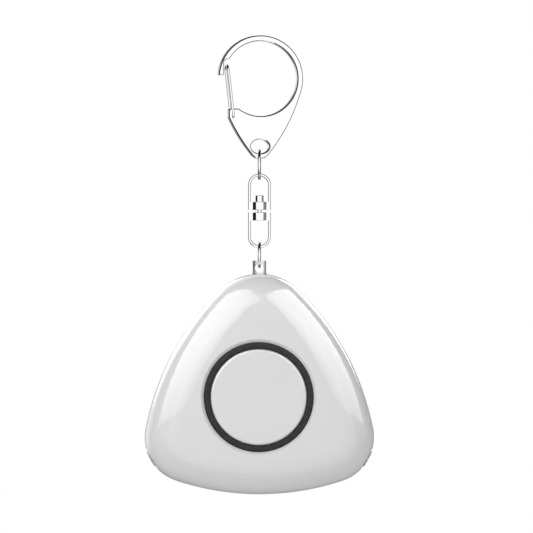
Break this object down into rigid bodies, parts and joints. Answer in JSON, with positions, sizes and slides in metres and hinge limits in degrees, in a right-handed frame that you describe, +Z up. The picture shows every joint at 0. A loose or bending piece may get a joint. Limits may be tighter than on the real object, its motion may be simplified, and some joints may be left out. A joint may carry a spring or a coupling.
{
  "type": "personal safety alarm",
  "caption": "Pull-pin personal alarm in a rounded triangular casing with a round button, hung from a swivel chain and a sprung snap hook.",
  "frame": {"origin": "the point inside the top of the hook's round opening, where the alarm hangs", "axes": "+Z up along the chain, -Y out of the front with the button, +X to the right seen from the front"},
  "size_m": [0.0642, 0.0212, 0.1284],
  "materials": {
    "chrome": "polished nickel-chrome plating",
    "shell_white": "glossy white moulding",
    "button_white": "satin pale grey-white moulding",
    "bezel_rubber": "matt dark grey, fine texture",
    "lens_clear": "clear moulded plastic",
    "led_clear": "clear epoxy",
    "board_green": "solder mask",
    "inner_black": "matt",
    "inner_white": "matt",
    "coil_copper": "enamelled winding",
    "brass": "bright",
    "cell_steel": "satin nickel",
    "screw_steel": "zinc plated"
  },
  "bodies": {
    "hook": {"hook_body": "chrome"},
    "gate": {"hook_gate": "chrome"},
    "upper_ring": {"ring_upper": "chrome"},
    "upper_swivel": {"swivel_upper": "chrome"},
    "lower_swivel": {"swivel_lower": "chrome", "swivel_rivet": "chrome"},
    "lower_ring": {"ring_lower": "chrome"},
    "pin": {"pull_pin": "chrome"},
    "casing": {"front_shell": "shell_white", "back_shell": "shell_white", "button_bezel": "bezel_rubber", "lens_left": "lens_clear", "lens_right": "lens_clear", "led_left": "led_clear", "led_right": "led_clear", "circuit_board": "board_green", "tact_switch": "inner_black", "control_chip": "inner_black", "boost_coil": "coil_copper", "sounder_cup": "inner_black", "piezo_disc": "brass", "pin_guide": "inner_white", "pin_contacts": "brass", "battery_holder": "inner_white", "battery_cells": "cell_steel", "battery_contact_plus": "brass", "battery_contact_minus": "brass", "battery_door": "shell_white", "battery_door_screw": "screw_steel", "casing_screws": "screw_steel"},
    "button": {"button_cap": "button_white"}
  },
  "joints": [
    {"name": "gate_swing", "type": "hinge", "parent": "hook", "child": "gate", "pos_m": [-0.00755, -0.00174, -0.0212], "axis": [-0.225, 0.9744, 0], "range_deg": [0, 25], "stiffness_Nm_per_rad": 0.03, "springref_deg": -17.19},
    {"name": "upper_ring_swing", "type": "hinge", "parent": "hook", "child": "upper_ring", "pos_m": [0, 0, -0.03062], "axis": [0, 1, 0], "range_deg": [-60, 60]},
    {"name": "swivel_swing", "type": "hinge", "parent": "upper_ring", "child": "upper_swivel", "pos_m": [0, 0, -0.03745], "axis": [1, 0, 0], "range_deg": [-60, 60]},
    {"name": "swivel_turn", "type": "hinge", "parent": "upper_swivel", "child": "lower_swivel", "pos_m": [0, 0, -0.0502], "axis": [0, 0, 1], "continuous": true},
    {"name": "lower_ring_swing", "type": "hinge", "parent": "lower_swivel", "child": "lower_ring", "pos_m": [0, 0, -0.05755], "axis": [1, 0, 0], "range_deg": [-60, 60]},
    {"name": "pin_swing", "type": "hinge", "parent": "lower_ring", "child": "pin", "pos_m": [0, 0, -0.06313], "axis": [0, 1, 0], "range_deg": [-60, 60]},
    {"name": "alarm_pull", "type": "slide", "parent": "pin", "child": "casing", "axis": [0, 0, -1], "range_m": [0, 0.0135]},
    {"name": "button_press", "type": "slide", "parent": "casing", "child": "button", "axis": [0, 1, 0], "range_m": [0, 0.0006], "stiffness_N_per_m": 2000, "springref_m": -0.0003}
  ]
}
